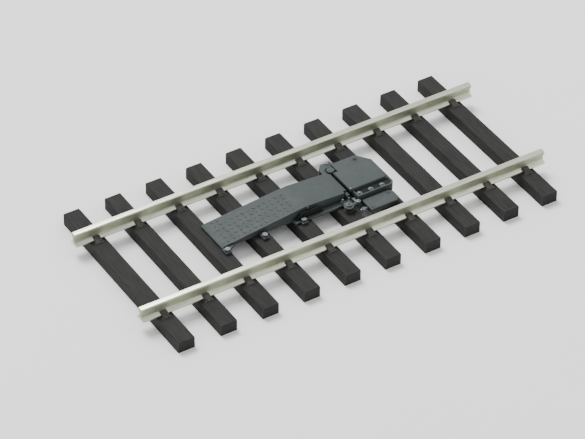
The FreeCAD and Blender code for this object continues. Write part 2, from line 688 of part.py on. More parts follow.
@sub_part
def corner_screw():
    """Small domed screw at the near left corner of the raised middle."""
    head = dome("corner_screw_radius", "corner_screw_height", "cap_top", *CORNER_SCREW)
    shank = upright("corner_screw_shank", "cap_top - corner_screw_depth", "cap_top", *CORNER_SCREW)
    solid_group("corner_screw", [head.fuse(shank).removeSplitter()])


# ---------------------------------------------------------------- solenoid motor
def coil_span(which):
    """Near and far ends of one coil along Y."""
    start = f"near_coil_start + {which} * (coil_length + coil_gap)"
    return start, f"{start} + coil_length"


@sub_part
def coils():
    """Two bobbins on one axis, each with its winding."""
    for which, name in enumerate(("near", "far")):
        start, end = coil_span(which)
        bobbin = new_body(f"{name}_bobbin")
        place = ("coil_along", "coil_level")
        pad_circle(bobbin, XZ, *place, "tube_radius", start, end)
        pad_circle(bobbin, XZ, *place, "coil_radius", start, f"{start} + cheek_thick")
        pad_circle(bobbin, XZ, *place, "coil_radius", f"{end} - cheek_thick", end)
        cut_circle(bobbin, XZ, *place, "bore_radius", start, end)
        winding = new_body(f"{name}_winding")
        pad_circle(winding, XZ, *place, "coil_radius - 0.04",
                   f"{start} + cheek_thick", f"{end} - cheek_thick", bore="tube_radius")


@sub_part
def coil_yoke():
    """Steel strap bent up at both ends to hold the coils."""
    body = new_body("coil_yoke")
    near_end = "near_coil_start - yoke_plate"
    far_start = coil_span(1)[1]
    section = [
        (near_end, BED_TOP),
        (f"{far_start} + yoke_plate", BED_TOP),
        (f"{far_start} + yoke_plate", "yoke_top"),
        (far_start, "yoke_top"),
        (far_start, f"{BED_TOP} + yoke_base"),
        ("near_coil_start", f"{BED_TOP} + yoke_base"),
        ("near_coil_start", "yoke_top"),
        (near_end, "yoke_top"),
    ]
    pad_polygon(body, YZ, section, "coil_along - yoke_half", "coil_along + yoke_half")
    cut_circle(body, XZ, "coil_along", "coil_level", "bore_radius",
               f"{near_end} - 0.1", f"{far_start} + yoke_plate + 0.1")


@sub_part
def armature():
    """Iron rod that the two coils pull to and fro."""
    body = new_body("armature")
    pad_circle(body, XZ, "coil_along", "coil_level", "armature_radius",
               "armature_near", "armature_far")


@sub_part
def drive_slide():
    """Flat slide with an upstand on the armature and a slotted eye for the crank pin."""
    body = new_body("drive_slide")
    leg = "(crank_along + drive_arm)"
    outline = [
        (f"{leg} - slide_leg_half", "slide_far"),
        (f"{leg} - slide_leg_half", "crank_across"),
        (f"{leg} + slide_leg_half", "crank_across"),
        (f"{leg} + slide_leg_half", "slide_near"),
        ("slide_right", "slide_near"),
        ("slide_right", "slide_far"),
    ]
    pad_polygon(body, XY, outline, "slide_bottom", "slide_top")
    pad_circle(body, XY, leg, "crank_across", "eye_radius", "slide_bottom", "slide_top")
    upstand = rectangle("coil_along - upstand_half", "slide_near",
                        "coil_along + upstand_half", "slide_far")
    pad_polygon(body, XY, upstand, "slide_bottom", "upstand_top")
    cut_circle(body, XZ, "coil_along", "coil_level", "armature_radius",
               "slide_near - 0.1", "slide_far + 0.1")
    sketch = new_sketch(body, XY, "slide_bottom", "slide_top")
    add_slot(sketch, leg, "crank_across", "slot_extra", "crank_pin_radius + slot_play")
    pocket(body, sketch, "slide_bottom", "slide_top")


@sub_part
def wiper_arm():
    """Contact arm on the armature's far end, with two fingers over the switch board."""
    body = new_body("wiper_arm")
    outline = rectangle("coil_along - 0.3", "wiper_near", "wiper_right", "armature_far")
    pad_polygon(body, XY, outline, "wiper_bottom", "wiper_top")
    fingers = new_sketch(body, XY, "finger_bottom", "wiper_top")
    for step in range(2):
        left = f"finger_one + {step} * (pad_width + pad_gap) * 1.5"
        add_polygon(fingers, rectangle(left, "wiper_near", f"{left} + finger_width", "armature_far"))
    pad(body, fingers, "finger_bottom", "wiper_top")
    pad_circle(body, XZ, "coil_along", "coil_level", "armature_radius + 0.04",
               "wiper_near", "armature_far")
    cut_circle(body, XZ, "coil_along", "coil_level", "armature_radius",
               "wiper_near - 0.1", "armature_far + 0.1")


@sub_part
def switch_board():
    """Insulating board under the wiper."""
    body = new_body("switch_board")
    outline = rectangle("board_left", "board_near", "board_right", "board_far")
    pad_polygon(body, XY, outline, BED_TOP, f"{BED_TOP} + board_thick")


@sub_part
def contact_pads():
    """Three flat contacts on the switch board."""
    pads = []
    for step in range(3):
        left = size("board_left") + 0.15 + step * (size("pad_width") + size("pad_gap"))
        corner = FreeCAD.Vector(left, size("board_near") + 0.1, size(f"{BED_TOP} + board_thick"))
        length = size("board_far - board_near") - 0.2
        pads.append(Part.makeBox(size("pad_width"), length, size("pad_thick"), corner))
    solid_group("contact_pads", pads)


# ---------------------------------------------------------------- bell crank
@sub_part
def crank_post():
    """Fixed post on sleeper 6 that the bell crank turns on."""
    body = new_body("crank_post")
    place = ("crank_along", "crank_across")
    pad_circle(body, XY, *place, "crank_foot_radius", "sleeper_height", "crank_foot_top")
    pad_circle(body, XY, *place, "crank_post_radius",
               "sleeper_height - screw_depth", "post_tip")


def crank_point(reach, angle, across="0"):
    """A point beside the crank's axis: how far out, at which angle, how far to the left."""
    turn = f"{angle} * 1 deg"
    return (f"crank_along + ({reach}) * cos({turn}) - ({across}) * sin({turn})",
            f"crank_across + ({reach}) * sin({turn}) + ({across}) * cos({turn})")


def crank_strip(start, end, angle, half):
    """Corners of a straight arm of the crank."""
    return [crank_point(start, angle, f"-({half})"), crank_point(end, angle, f"-({half})"),
            crank_point(end, angle, half), crank_point(start, angle, half)]


@sub_part
def bell_crank():
    """Cup-shaped hub with a drive arm, a shorter output arm and a hand lever."""
    body = new_body("bell_crank")
    support = [item for item in body.Origin.OriginFeatures if item.Role == XZ][0]
    sketch = body.newObject("Sketcher::SketchObject", "cup_section")
    sketch.AttachmentSupport = [(support, "")]
    sketch.MapMode = "FlatFace"
    sketch.setExpression("AttachmentOffset.Base.z", bound("-crank_across"))
    inner = "crank_along + crank_post_radius + crank_play"
    add_polygon(sketch, [
        (inner, "cup_bottom"),
        ("crank_along + cup_bottom_radius", "cup_bottom"),
        ("crank_along + cup_radius - 0.06", "cup_rim_bottom"),
        ("crank_along + cup_radius", "cup_rim_bottom"),
        ("crank_along + cup_radius", "cup_top"),
        (inner, "cup_top"),
    ])
    axis = sketch.addGeometry(Part.LineSegment(
        FreeCAD.Vector(size("crank_along"), size("cup_bottom"), 0),
        FreeCAD.Vector(size("crank_along"), size("cup_top"), 0)), True)
    bind(sketch, Sketcher.Constraint("DistanceX", axis, 1, size("crank_along")), "crank_along")
    bind(sketch, Sketcher.Constraint("DistanceY", axis, 1, size("cup_bottom")), "cup_bottom")
    bind(sketch, Sketcher.Constraint("DistanceX", axis, 2, size("crank_along")), "crank_along")
    bind(sketch, Sketcher.Constraint("DistanceY", axis, 2, size("cup_top")), "cup_top")
    cup = body.newObject("PartDesign::Revolution", "cup")
    cup.Profile = sketch
    cup.ReferenceAxis = (sketch, ["Axis0"])
    cup.Angle = 360
    doc.recompute()
    drive = ("crank_along + drive_arm", "crank_across")
    arm = rectangle("crank_along + cup_bottom_radius", "crank_across - arm_half",
                    "crank_along + drive_arm", "crank_across + arm_half")
    pad_polygon(body, XY, arm, "arm_bottom", "cup_top")
    pad_circle(body, XY, *drive, "eye_radius", "arm_bottom", "cup_top")
    output = crank_point("output_arm", "output_angle")
    strip = crank_strip("cup_bottom_radius", "output_arm", "output_angle", "output_eye * 0.8")
    pad_polygon(body, XY, strip, "arm_bottom", "cup_top")
    pad_polygon(body, XY, hexagon(*output, "output_eye"), "arm_bottom", "cup_top")
    strip = crank_strip("cup_bottom_radius", "lever_reach", "lever_angle", "lever_half")
    pad_polygon(body, XY, strip, "arm_bottom", "cup_top")
    knob = crank_point("lever_reach - lever_knob", "lever_angle")
    pad_circle(body, XY, *knob, "lever_knob", "arm_bottom", "lever_top")
    cut_circle(body, XY, *drive, "crank_pin_radius", "arm_bottom", "cup_top")
    cut_polygon(body, XY, hexagon(*output, "output_tang"), "arm_bottom", "cup_top")


@sub_part
def crank_pins():
    """Headed drive pin in the slide's slot, and the output pin on its hexagon tang."""
    drive = new_body("drive_pin")
    place = ("crank_along + drive_arm", "crank_across")
    pad_circle(drive, XY, *place, "crank_pin_radius", "slide_bottom", "crank_pin_tip")
    pad_circle(drive, XY, *place, "crank_pin_head", "cup_top", "crank_pin_head_top")
    output = new_body("output_pin")
    place = crank_point("output_arm", "output_angle")
    pad_polygon(output, XY, hexagon(*place, "output_tang"), "arm_bottom", "output_seat")
    pad_circle(output, XY, *place, "output_pin_radius", "output_seat", "output_pin_top")


@sub_part
def crank_nut():
    """Hexagon nut that keeps the crank on its post."""
    body = new_body("crank_nut")
    place = ("crank_along", "crank_across")
    sketch = new_sketch(body, XY, "nut_bottom", "nut_top")
    add_polygon(sketch, hexagon(*place, "nut_radius"))
    add_circle(sketch, *place, "crank_post_radius")
    pad(body, sketch, "nut_bottom", "nut_top")


# ---------------------------------------------------------------- side box
def box_outline(grow):
    """Plan of the side box with its right-hand corners cut off."""
    return [
        (f"box_left - {grow}", f"box_near - {grow}"),
        (f"box_right - box_cut + {grow} * 0.4", f"box_near - {grow}"),
        (f"box_right + {grow}", f"box_near + box_cut - {grow} * 0.4"),
        (f"box_right + {grow}", f"box_far - box_cut + {grow} * 0.4"),
        (f"box_right - box_cut + {grow} * 0.4", f"box_far + {grow}"),
        (f"box_left - {grow}", f"box_far + {grow}"),
    ]


LID_SCREWS = (
    ("box_left + lid_screw_inset", "box_near + lid_screw_inset"),
    ("box_right - lid_screw_inset * 1.6", "box_far - lid_screw_inset * 1.2"),
)


@sub_part
def side_box():
    """Shallow open box beside the housing, with two posts for the lid screws."""
    body = new_body("side_box")
    pad_polygon(body, XY, box_outline("0"), "sleeper_height", "box_top")
    cut_polygon(body, XY, box_outline("-box_wall"), "sleeper_height + box_floor", "box_top + 0.1")
    sketch = new_sketch(body, XY, "sleeper_height", "box_top")
    for x, y in LID_SCREWS:
        add_polygon(sketch, rectangle(f"{x} - lid_post_half", f"{y} - lid_post_half",
                                      f"{x} + lid_post_half", f"{y} + lid_post_half"))
    pad(body, sketch, "sleeper_height", "box_top")
    sketch = new_sketch(body, XY, "sleeper_height", "box_top")
    for x, y in LID_SCREWS:
        add_circle(sketch, x, y, "lid_screw_shank + hole_play")
    for y in ("box_near + box_screw_offset", "box_far - box_screw_offset"):
        add_circle(sketch, "box_screw_along", y, "lid_screw_shank + hole_play")
    pocket(body, sketch, "sleeper_height", "box_top")
    cut_circle(body, YZ, "gland_across", "gland_level", "gland_radius",
               "box_left - 0.1", "box_left + box_wall + 0.1")


@sub_part
def box_lid():
    """Lid with a small overhang and chamfered top edge."""
    body = new_body("box_lid")
    pad_polygon(body, XY, box_outline("lid_overhang"), "box_top", "box_lid_top")
    chamfer_where(body, "lid_bevel", at_level("box_lid_top"))
    sketch = new_sketch(body, XY, "box_top", "box_lid_top")
    for x, y in LID_SCREWS:
        add_circle(sketch, x, y, "lid_screw_shank + hole_play")
    pocket(body, sketch, "box_top", "box_lid_top")


@sub_part
def lid_screws():
    """Two low domed screws in the lid."""
    screws = []
    for place in LID_SCREWS:
        head = dome("lid_screw_radius", "lid_screw_height", "box_lid_top", *place)
        shank = upright("lid_screw_shank", "sleeper_height + 0.1", "box_lid_top", *place)
        screws.append(head.fuse(shank).removeSplitter())
    solid_group("lid_screws", screws)


@sub_part
def box_screws():
    """Two screws that hold the side box down on sleeper 7."""
    screws = []
    for y in ("box_near + box_screw_offset", "box_far - box_screw_offset"):
        floor = "sleeper_height + box_floor"
        head = upright("box_screw_radius", floor, f"{floor} + 0.12", "box_screw_along", y)
        shank = upright("lid_screw_shank", "sleeper_height - screw_depth", floor,
                        "box_screw_along", y)
        screws.append(head.fuse(shank).removeSplitter())
    solid_group("box_screws", screws)


@sub_part
def terminal_block():
    """Moulded block that carries the wire clamps."""
    body = new_body("terminal_block")
    outline = rectangle("block_left", "block_near", "block_right", "block_far")
    floor = "sleeper_height + box_floor"
    pad_polygon(body, XY, outline, floor, "block_top")


@sub_part
def terminal_screws():
    """Four clamp screws on the terminal block."""
    screws = []
    for step in range(int(size("terminal_count"))):
        x = f"block_left + terminal_pitch * {step + 0.5}"
        y = "(block_near + block_far) / 2"
        screws.append(upright("terminal_radius", "block_top", "terminal_top", x, y))
    solid_group("terminal_screws", screws)


@sub_part
def cable_gland():
    """Threaded sleeve through the box's left wall for the supply wires."""
    body = new_body("cable_gland")
    pad_circle(body, YZ, "gland_across", "gland_level", "gland_radius",
               "gland_end", "gland_inner", bore="gland_bore")


@sub_part
def gland_nut():
    """Hexagon nut on the gland's outer end."""
    body = new_body("gland_nut")
    sketch = new_sketch(body, YZ, "gland_nut_left", "gland_nut_right")
    add_polygon(sketch, hexagon("gland_across", "gland_level", "gland_nut_radius"))
    add_circle(sketch, "gland_across", "gland_level", "gland_radius")
    pad(body, sketch, "gland_nut_left", "gland_nut_right")


# ---------------------------------------------------------------- build and write
for maker in MAKERS:
    maker()
doc.recompute()

for item in doc.Objects:
    if "Invalid" in item.State or "Error" in item.State:
        raise RuntimeError(f"{item.Label}: {item.State}")

sub_parts = [item for item in doc.Objects
             if item.TypeId in ("PartDesign::Body", "Part::Feature")]
for item in sub_parts:
    if item.Shape.isNull() or not item.Shape.isValid():
        raise RuntimeError(f"{item.Label}: no valid shape")

os.makedirs("parts", exist_ok=True)
for item in sub_parts:
    item.Shape.exportStep(os.path.join("parts", item.Label + ".step"))
print(f"{len(sub_parts)} sub-parts written")
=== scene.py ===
import json
import math
import random
import bmesh
import bpy
from mathutils import Matrix, Vector, noise


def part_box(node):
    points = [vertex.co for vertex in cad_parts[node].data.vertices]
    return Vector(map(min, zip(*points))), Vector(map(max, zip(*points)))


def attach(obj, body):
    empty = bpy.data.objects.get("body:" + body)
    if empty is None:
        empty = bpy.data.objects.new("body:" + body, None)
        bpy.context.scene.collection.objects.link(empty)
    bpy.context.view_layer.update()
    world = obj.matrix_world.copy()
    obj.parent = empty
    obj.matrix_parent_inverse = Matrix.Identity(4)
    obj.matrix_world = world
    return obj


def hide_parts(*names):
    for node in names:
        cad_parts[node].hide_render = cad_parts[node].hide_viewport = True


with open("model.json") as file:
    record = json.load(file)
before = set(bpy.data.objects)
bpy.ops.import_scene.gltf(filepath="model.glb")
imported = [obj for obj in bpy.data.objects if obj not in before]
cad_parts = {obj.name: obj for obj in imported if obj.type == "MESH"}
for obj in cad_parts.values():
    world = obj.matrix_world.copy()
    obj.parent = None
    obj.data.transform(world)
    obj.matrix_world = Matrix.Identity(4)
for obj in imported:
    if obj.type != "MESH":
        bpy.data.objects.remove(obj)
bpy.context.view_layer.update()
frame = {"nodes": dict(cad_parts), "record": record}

# Meshes are made in millimetres and written in metres.
MM = 0.001
NODES = frame["nodes"]
RECORD = frame["record"]
SLOT_OF = {row["node"]: row["material_slot"] for row in RECORD["subparts"]}
BODY_OF = {node: body
           for body, nodes in RECORD["behaviour"]["bodies"].items() for node in nodes}
RNG = random.Random(11)


def box_mm(node):
    """Lowest and highest corner of a CAD node."""
    low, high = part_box(node)
    return low / MM, high / MM


SLEEPER_TOP = box_mm("near_rail")[0].z
RAIL_LINE = sum(corner.y for corner in box_mm("far_rail")) / 2


# ---------------------------------------------------------------- camera
# Degrees, and millimetres from the origin at the middle of the track.
CAMERA_AZIMUTH = -32.504
CAMERA_ELEVATION = 39.486
CAMERA_ROLL = 0.717
CAMERA_DISTANCE = 423.97
CAMERA_TARGET = Vector((-2.934, 0.094, 0))
SENSOR_WIDTH = 36
LENS = 196.603


def make_camera():
    """A long lens above the near left side of the track, turned a little about its axis."""
    azimuth, elevation = math.radians(CAMERA_AZIMUTH), math.radians(CAMERA_ELEVATION)
    roll = math.radians(CAMERA_ROLL)
    back = Vector((math.sin(azimuth) * math.cos(elevation),
                   -math.cos(azimuth) * math.cos(elevation), math.sin(elevation)))
    level = (-back).cross(Vector((0, 0, 1))).normalized()
    rise = level.cross(-back)
    right = math.cos(roll) * level + math.sin(roll) * rise
    up = math.cos(roll) * rise - math.sin(roll) * level
    data = bpy.data.cameras.new("camera")
    data.sensor_width = SENSOR_WIDTH
    data.lens = LENS
    data.clip_start = 0.01
    data.clip_end = 20
    camera = bpy.data.objects.new("camera", data)
    bpy.context.scene.collection.objects.link(camera)
    turn = Matrix((right, up, back)).transposed().to_4x4()
    camera.matrix_world = Matrix.Translation((CAMERA_TARGET + back * CAMERA_DISTANCE) * MM) @ turn
    bpy.context.scene.camera = camera


# ---------------------------------------------------------------- material helpers
CORNER_REACH = 0.7


class Shader:
    """One material's node tree, with short calls to add nodes and join them."""

    def __init__(self, name):
        self.material = bpy.data.materials.new(name)
        self.material.use_nodes = True
        self.tree = self.material.node_tree
        self.surface = self.tree.nodes["Principled BSDF"]
        self.place = self.add("ShaderNodeTexCoord").outputs["Object"]

    def add(self, kind, **settings):
        node = self.tree.nodes.new(kind)
        for key, value in settings.items():
            setattr(node, key, value)
        return node

    def feed(self, socket, value):
        if isinstance(value, bpy.types.NodeSocket):
            self.tree.links.new(value, socket)
        elif isinstance(value, tuple) and len(value) == 3 and socket.type == "RGBA":
            socket.default_value = (*value, 1)
        else:
            socket.default_value = value

    def noise(self, per_mm, detail=3, rough=0.6, stretch=(1, 1, 1)):
        """Cloudy noise with a given number of cells to the millimetre."""
        scale = self.add("ShaderNodeVectorMath", operation="MULTIPLY")
        self.feed(scale.inputs[0], self.place)
        scale.inputs[1].default_value = tuple(per_mm / MM * s for s in stretch)
        cloud = self.add("ShaderNodeTexNoise")
        self.feed(cloud.inputs["Vector"], scale.outputs[0])
        cloud.inputs["Scale"].default_value = 1
        cloud.inputs["Detail"].default_value = detail
        cloud.inputs["Roughness"].default_value = rough
        return cloud.outputs["Fac"]

    def ramp(self, value, low, high, start=0.0, end=1.0):
        """Maps low..high to start..end, clamped."""
        node = self.add("ShaderNodeMapRange")
        self.feed(node.inputs["Value"], value)
        for key, number in (("From Min", low), ("From Max", high),
                            ("To Min", start), ("To Max", end)):
            node.inputs[key].default_value = number
        return node.outputs["Result"]

    def math(self, operation, a, b=0.0):
        node = self.add("ShaderNodeMath", operation=operation)
        self.feed(node.inputs[0], a)
        self.feed(node.inputs[1], b)
        return node.outputs[0]

    def mix(self, factor, a, b):
        node = self.add("ShaderNodeMix", data_type="RGBA")
        self.feed(node.inputs["Factor"], factor)
        self.feed(node.inputs["A"], a)
        self.feed(node.inputs["B"], b)
        return node.outputs["Result"]

    def edges(self, radius_mm):
        """Near 1 along sharp edges, 0 on open faces."""
        bevel = self.add("ShaderNodeBevel", samples=6)
        bevel.inputs["Radius"].default_value = radius_mm * MM
        flat = self.add("ShaderNodeNewGeometry")
        dot = self.add("ShaderNodeVectorMath", operation="DOT_PRODUCT")
        self.feed(dot.inputs[0], bevel.outputs["Normal"])
        self.feed(dot.inputs[1], flat.outputs["Normal"])
        return self.ramp(dot.outputs["Value"], 0.995, 0.86)

    def upward(self):
        """How level a surface is, from 0 on a wall to 1 on a floor."""
        split = self.add("ShaderNodeSeparateXYZ")
        self.feed(split.inputs[0], self.add("ShaderNodeNewGeometry").outputs["Normal"])
        return self.math("ABSOLUTE", split.outputs["Z"])

    def level(self, low_mm, high_mm):
        """0 below one height and 1 above another."""
        split = self.add("ShaderNodeSeparateXYZ")
        self.feed(split.inputs[0], self.place)
        return self.ramp(split.outputs["Z"], low_mm * MM, high_mm * MM)

    def corners(self):
        """1 on open faces, less in corners and gaps; the looks use it to paint shade there."""
        node = self.add("ShaderNodeAmbientOcclusion", samples=8)
        node.inputs["Distance"].default_value = CORNER_REACH * MM
        return node.outputs["AO"]

    def bump(self, height, depth_mm, strength=1.0):
        node = self.add("ShaderNodeBump")
        node.inputs["Strength"].default_value = strength
        node.inputs["Distance"].default_value = depth_mm * MM
        self.feed(node.inputs["Height"], height)
        self.feed(self.surface.inputs["Normal"], node.outputs["Normal"])

    def finish(self, colour, roughness, metallic=0.0, gloss=0.5):
        """Sets the surface's main values and gives the material."""
        self.feed(self.surface.inputs["Base Color"], colour)
        self.feed(self.surface.inputs["Roughness"], roughness)
        self.surface.inputs["Metallic"].default_value = metallic
        self.surface.inputs["Specular IOR Level"].default_value = gloss
        return self.material


def moulded(name, tint, second, edge, rough, gloss):
    """Semi-matt moulded surface: cloudy tint, fine grain, edges lightened by wear and a painted
    highlight, painted shade in corners.
    """
    s = Shader(name)
    cloud = s.ramp(s.noise(0.35, 4), 0.35, 0.65)
    colour = s.mix(cloud, tint, second)
    speck = s.ramp(s.noise(9, 2), 0.62, 0.75, 0.0, 0.25)
    colour = s.mix(speck, colour, edge)
    # Lighter colour along edges: partly wear, partly a painted highlight.
    edge_wear_and_highlight = s.math("MULTIPLY", s.edges(0.07), s.ramp(s.noise(1.6, 4), 0.35, 0.6, 0.35, 1.0))
    colour = s.mix(edge_wear_and_highlight, colour, edge)
    # Darker colour in corners and gaps: painted shade.
    painted_corner_shade = s.ramp(s.corners(), 0.35, 0.95, 0.75, 0.0)
    colour = s.mix(painted_corner_shade, colour, tuple(c * 0.3 for c in tint))
    s.bump(s.noise(14, 3), 0.012, 0.6)
    return s.finish(colour, s.ramp(s.noise(1.1, 3), 0.3, 0.7, rough - 0.07, rough + 0.08),
                    gloss=gloss)


def sleeper_look(name):
    """Dark moulded sleeper: grain along its length, worn ridges and paler rail fastenings."""
    s = Shader(name)
    grain = s.noise(4.5, 4, 0.7, (1, 0.07, 1))
    cloud = s.ramp(s.noise(0.22, 4), 0.3, 0.7)
    colour = s.mix(cloud, (0.016, 0.016, 0.016), (0.021, 0.021, 0.0195))
    colour = s.mix(s.ramp(grain, 0.45, 0.7, 0.0, 0.5), colour, (0.031, 0.03, 0.027))
    colour = s.mix(s.ramp(grain, 0.42, 0.3, 0.0, 0.6), colour, (0.01, 0.0098, 0.0095))
    colour = s.mix(s.math("MULTIPLY", s.edges(0.1), 0.4), colour, (0.09, 0.088, 0.08))
    # Darker colour in corners and gaps: painted shade.
    colour = s.mix(s.ramp(s.corners(), 0.2, 0.8, 0.5, 0.0), colour, (0.012, 0.011, 0.009))
    chair = s.math("MULTIPLY", s.level(SLEEPER_TOP, SLEEPER_TOP + 0.06),
                   s.ramp(s.noise(1.2, 3), 0.4, 0.6, 0.45, 0.95))
    colour = s.mix(chair, colour, (0.085, 0.08, 0.07))
    s.bump(grain, 0.03, 0.6)
    return s.finish(colour, s.ramp(grain, 0.3, 0.7, 0.85, 0.7), gloss=0.2)


def rail_look(name):
    """Drawn nickel silver: bright on the running surface and the foot, dull between them; the
    brightness on the foot and on level faces is a painted highlight.
    """
    s = Shader(name)
    streak = s.noise(7, 3, 0.6, (0.05, 1, 1))
    foot = s.math("SUBTRACT", 1.0, s.level(2.3, 2.42))
    # Brighter colour on the running surface (real polish) and on the foot and level faces
    # (painted highlight).
    polish_and_painted_highlight = s.math("MULTIPLY", s.math("MAXIMUM", s.level(3.5, 3.6), foot),
                    s.ramp(s.upward(), 0.0, 0.9, 0.6, 1.0))
    bright = s.mix(s.ramp(streak, 0.3, 0.7), (0.56, 0.585, 0.45), (0.74, 0.765, 0.62))
    dull = s.mix(s.ramp(s.noise(0.8, 4), 0.35, 0.65), (0.33, 0.335, 0.245), (0.41, 0.42, 0.31))
    colour = s.mix(polish_and_painted_highlight, dull, bright)
    # Darker colour in corners: painted shade.
    colour = s.mix(s.ramp(s.corners(), 0.1, 0.7, 0.6, 0.0), colour, (0.1, 0.1, 0.07))
    s.bump(streak, 0.006, 0.8)
    rough = s.math("ADD", s.ramp(polish_and_painted_highlight, 0, 1, 0.5, 0.3), s.ramp(streak, 0.3, 0.7, -0.05, 0.08))
    return s.finish(colour, rough, 0.85)


def metal(name, tint, worn, rough, per_mm=6, stretch=(1, 1, 1)):
    """Turned, stamped or plated metal with fine marks and darker corners, which are painted
    shade.
    """
    s = Shader(name)
    marks = s.noise(per_mm, 4, 0.65, stretch)
    colour = s.mix(s.ramp(marks, 0.35, 0.65), tint, worn)
    colour = s.mix(s.math("MULTIPLY", s.edges(0.04), 0.6), colour,
                   tuple(min(1, c * 1.35) for c in worn))
    # Darker colour in corners: painted shade.
    colour = s.mix(s.ramp(s.corners(), 0.3, 0.9, 0.7, 0.0), colour,
                   tuple(c * 0.2 for c in tint))
    s.bump(marks, 0.006, 0.7)
    return s.finish(colour, s.ramp(marks, 0.3, 0.7, rough - 0.08, rough + 0.1), metallic=1.0)


def soft_look(name, tint, rough):
    """Rubber, nylon or resin board: little gloss and a faint mottle."""
    s = Shader(name)
    mottle = s.noise(3, 4)
    colour = s.mix(s.ramp(mottle, 0.3, 0.7), tint, tuple(c * 1.35 for c in tint))
    s.bump(s.noise(12, 3), 0.01, 0.6)
    return s.finish(colour, s.ramp(mottle, 0.3, 0.7, rough, rough + 0.12))


LOOKS = {
    "unit_casting": moulded("unit_casting", (0.043, 0.056, 0.053), (0.052, 0.058, 0.059),
                            (0.13, 0.15, 0.146), 0.6, gloss=0.24),
    # A darker moulded look for faces that lie in shade: painted shade.
    "painted_shade": moulded("painted_shade", (0.013, 0.0145, 0.0145), (0.017, 0.017, 0.0165),
                      (0.06, 0.066, 0.066), 0.7, gloss=0.12),
    "sleeper_plastic": sleeper_look("sleeper_plastic"),
    "rail_metal": rail_look("rail_metal"),
    "steel_fixings": metal("steel_fixings", (0.13, 0.15, 0.16), (0.22, 0.245, 0.255), 0.5),
    "seal_rubber": soft_look("seal_rubber", (0.018, 0.018, 0.018), 0.75),
    "bobbin_plastic": soft_look("bobbin_plastic", (0.5, 0.46, 0.36), 0.4),
    "copper_wire": metal("copper_wire", (0.55, 0.2, 0.08), (0.75, 0.33, 0.14), 0.3, 9),
    "soft_iron": metal("soft_iron", (0.4, 0.4, 0.41), (0.55, 0.55, 0.56), 0.38, 8, (1, 0.1, 1)),
    "contact_brass": metal("contact_brass", (0.7, 0.5, 0.2), (0.85, 0.66, 0.32), 0.28),
    "board_resin": soft_look("board_resin", (0.16, 0.09, 0.035), 0.45),
}


# ---------------------------------------------------------------- mesh helpers
SHARP_ANGLE = math.radians(35)
WELD = 1e-4


def cad_mesh(node):
    """A working copy of a CAD node in millimetres, welded, with its flat faces whole."""
    bm = bmesh.new()
    bm.from_mesh(NODES[node].data)
    bmesh.ops.scale(bm, vec=(1 / MM, 1 / MM, 1 / MM), verts=bm.verts)
    bmesh.ops.remove_doubles(bm, verts=bm.verts, dist=WELD)
    bmesh.ops.dissolve_limit(bm, angle_limit=math.radians(1), verts=bm.verts, edges=bm.edges)
    return bm


def round_edges(bm, width):
    """Rounds every sharp edge."""
    edges = [e for e in bm.edges if e.is_manifold and e.calc_face_angle(0) > SHARP_ANGLE]
    bmesh.ops.bevel(bm, geom=edges, offset=width, offset_type="OFFSET", segments=2,
                    profile=0.6, affect="EDGES", clamp_overlap=True)


def absorb(whole, part):
    """Adds a finished part to a larger mesh."""
    mesh = bpy.data.meshes.new("part")
    part.to_mesh(mesh)
    part.free()
    whole.from_mesh(mesh)
    bpy.data.meshes.remove(mesh)


def add_lathe(bm, profile, centre, axis=(0, 0, 1), sides=28):
    """A closed turned shape from (radius, height) pairs, standing on centre along axis."""
    turn = Vector((0, 0, 1)).rotation_difference(Vector(axis)).to_matrix()
    rings = []
    for radius, height in profile:
        if radius < 1e-6:
            rings.append([bm.verts.new(Vector(centre) + turn @ Vector((0, 0, height)))])
            continue
        ring = []
        for k in range(sides):
            angle = 2 * math.pi * k / sides
            spot = Vector((radius * math.cos(angle), radius * math.sin(angle), height))
            ring.append(bm.verts.new(Vector(centre) + turn @ spot))
        rings.append(ring)
    for low, high in zip(rings, rings[1:]):
        for k in range(sides):
            following = (k + 1) % sides
            if len(low) == 1:
                bm.faces.new((low[0], high[following], high[k]))
            elif len(high) == 1:
                bm.faces.new((low[k], low[following], high[0]))
            else:
                bm.faces.new((low[k], low[following], high[following], high[k]))


def add_prism(bm, outline, low, high, axis="Z"):
    """A straight prism with the given outline. Axis X takes (y, z) pairs."""
    def at(a, b, c):
        return (c, a, b) if axis == "X" else (a, b, c)

    bottom = [bm.verts.new(at(a, b, low)) for a, b in outline]
    top = [bm.verts.new(at(a, b, high)) for a, b in outline]
    count = len(outline)
    bm.faces.new(bottom[::-1])
    bm.faces.new(top)
    for k in range(count):
        following = (k + 1) % count
        bm.faces.new((bottom[k], bottom[following], top[following], top[k]))


def add_hexagon(bm, centre, radius, low, high, turn):
    """An upright hexagonal prism, radius measured to its corners."""
    outline = []
    for k in range(6):
        angle = math.pi * k / 3 + turn
        outline.append((centre[0] + radius * math.cos(angle),
                        centre[1] + radius * math.sin(angle)))
    add_prism(bm, outline, low, high)


def make_piece(name, bm, nodes, smooth=32):
    """Writes a finished mesh as the piece that stands for one or more CAD nodes."""
    bmesh.ops.recalc_face_normals(bm, faces=bm.faces)
    bmesh.ops.scale(bm, vec=(MM, MM, MM), verts=bm.verts)
    mesh = bpy.data.meshes.new(name)
    bm.to_mesh(mesh)
    bm.free()
    mesh.shade_smooth()
    mesh.set_sharp_from_angle(angle=math.radians(smooth))
    piece = bpy.data.objects.new(name, mesh)
    bpy.context.scene.collection.objects.link(piece)
    chosen = SLOT_OF[nodes[0]]
    mesh.materials.append(LOOKS[chosen])
    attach(piece, BODY_OF[nodes[0]])
    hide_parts(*nodes)
    return piece


